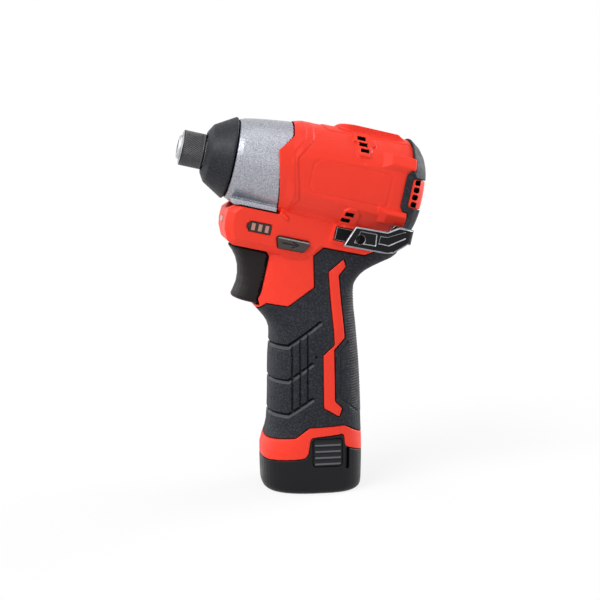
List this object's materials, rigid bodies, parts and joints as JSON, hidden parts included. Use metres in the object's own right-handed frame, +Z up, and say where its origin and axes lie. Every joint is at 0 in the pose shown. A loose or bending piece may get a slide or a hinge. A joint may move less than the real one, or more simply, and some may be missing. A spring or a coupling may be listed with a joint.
{
  "type": "cordless impact driver",
  "caption": "Compact pistol-grip cordless impact driver with hexagonal quick-release collet, belt hook and slide-in pod battery.",
  "frame": {"origin": "centre of the battery foot's flat base, below the handle", "axes": "+X to the tool's back with the nose toward -X, +Y to the tool's right-hand side, +Z up through the handle"},
  "size_m": [0.1244, 0.0624, 0.188],
  "materials": {
    "red_plastic": "satin moulded",
    "soft_black": "fine stipple",
    "cast_alloy": "painted sparkle silver",
    "black_steel": "black oxide",
    "steel": "ground",
    "bronze": "plain",
    "copper": "enamelled wire",
    "black_plastic": "satin",
    "cream_plastic": "plain",
    "trigger_plastic": "satin",
    "clear_lens": "clear",
    "cell_wrap": "shrink wrap"
  },
  "bodies": {
    "housing": {"left_housing": "red_plastic", "right_housing": "red_plastic", "left_grip": "soft_black", "right_grip": "soft_black", "rear_guard": "soft_black", "hammer_case": "cast_alloy", "nose_bumper": "soft_black", "anvil_bush": "bronze", "thrust_washer": "steel", "ring_gear": "steel", "gearbox_plate": "black_plastic", "spindle_bearing": "steel", "motor_front_bearing": "steel", "motor_rear_bearing": "steel", "stator_core": "steel", "stator_coils": "copper", "stator_insulators": "cream_plastic", "sensor_board": "black_plastic", "trigger_spring": "steel", "switch_body": "black_plastic", "gauge_lens": "trigger_plastic", "gauge_lights": "clear_lens", "gauge_board": "black_plastic", "work_light": "clear_lens", "control_board": "black_plastic", "terminal_block": "black_plastic", "terminal_blades": "bronze", "belt_hook": "black_steel", "hook_screw": "steel", "hook_nut": "steel", "housing_screws": "black_steel"},
    "drive": {"cam_spindle": "steel", "cam_balls": "steel", "planet_pins": "steel", "spring_washer": "steel", "hammer_spring": "steel"},
    "hammer": {"hammer": "steel"},
    "anvil": {"anvil": "steel", "sleeve_washer": "steel", "retaining_ring": "steel", "detent_balls": "steel", "sleeve_spring": "steel"},
    "sleeve": {"bit_sleeve": "black_steel"},
    "planet_1": {"planet_gear_1": "steel"},
    "planet_2": {"planet_gear_2": "steel"},
    "planet_3": {"planet_gear_3": "steel"},
    "rotor": {"motor_shaft": "steel", "drive_pinion": "steel", "rotor_core": "steel", "rotor_magnets": "steel", "cooling_fan": "black_plastic"},
    "trigger": {"trigger": "trigger_plastic"},
    "direction": {"direction_button": "trigger_plastic"},
    "battery": {"battery_base": "black_plastic", "battery_tower": "black_plastic", "battery_cells": "cell_wrap", "battery_contacts": "bronze"},
    "left_release": {"left_release": "black_plastic"},
    "right_release": {"right_release": "black_plastic"}
  },
  "joints": [
    {"name": "spindle_spin", "type": "hinge", "parent": "housing", "child": "drive", "pos_m": [0, 0, 0.159], "axis": [0.9763, 0, -0.2164], "continuous": true},
    {"name": "hammer_recoil", "type": "slide", "parent": "drive", "child": "hammer", "axis": [0.9763, 0, -0.2164], "range_m": [0, 0.0062], "stiffness_N_per_m": 4000, "springref_m": -0.006, "deforming": ["hammer_spring"]},
    {"name": "anvil_spin", "type": "hinge", "parent": "housing", "child": "anvil", "pos_m": [-0.04881, 0, 0.16982], "axis": [0.9763, 0, -0.2164], "continuous": true},
    {"name": "sleeve_slide", "type": "slide", "parent": "anvil", "child": "sleeve", "axis": [-0.9763, 0, 0.2164], "range_m": [0, 0.003], "stiffness_N_per_m": 900, "springref_m": -0.003, "deforming": ["sleeve_spring"]},
    {"name": "planet_1_spin", "type": "hinge", "parent": "drive", "child": "planet_1", "pos_m": [0, 0.01125, 0.159], "axis": [0.9763, 0, -0.2164], "continuous": true},
    {"name": "planet_2_spin", "type": "hinge", "parent": "drive", "child": "planet_2", "pos_m": [0.00211, -0.00562, 0.16851], "axis": [0.9763, 0, -0.2164], "continuous": true},
    {"name": "planet_3_spin", "type": "hinge", "parent": "drive", "child": "planet_3", "pos_m": [-0.00211, -0.00562, 0.14949], "axis": [0.9763, 0, -0.2164], "continuous": true},
    {"name": "rotor_spin", "type": "hinge", "parent": "housing", "child": "rotor", "pos_m": [0.02929, 0, 0.15251], "axis": [0.9763, 0, -0.2164], "continuous": true},
    {"name": "trigger_pull", "type": "slide", "parent": "housing", "child": "trigger", "axis": [0.9763, 0, -0.2164], "range_m": [0, 0.006], "stiffness_N_per_m": 700, "springref_m": -0.004, "deforming": ["trigger_spring"]},
    {"name": "direction_shift", "type": "slide", "parent": "housing", "child": "direction", "axis": [0, 1, 0], "range_m": [-0.0015, 0.0015]},
    {"name": "battery_slide", "type": "slide", "parent": "battery", "child": "housing", "axis": [0, 0, 1], "range_m": [0, 0.07]},
    {"name": "left_release_press", "type": "slide", "parent": "battery", "child": "left_release", "axis": [0, 1, 0], "range_m": [0, 0.0014], "stiffness_N_per_m": 1500, "springref_m": -0.002},
    {"name": "right_release_press", "type": "slide", "parent": "battery", "child": "right_release", "axis": [0, -1, 0], "range_m": [0, 0.0014], "stiffness_N_per_m": 1500, "springref_m": -0.002}
  ],
  "couplings": [
    {"joint": "anvil_spin", "follows": "spindle_spin", "ratio": 1},
    {"joint": "planet_1_spin", "follows": "spindle_spin", "ratio": -2.6667},
    {"joint": "planet_2_spin", "follows": "spindle_spin", "ratio": -2.6667},
    {"joint": "planet_3_spin", "follows": "spindle_spin", "ratio": -2.6667},
    {"joint": "rotor_spin", "follows": "spindle_spin", "ratio": 5}
  ]
}
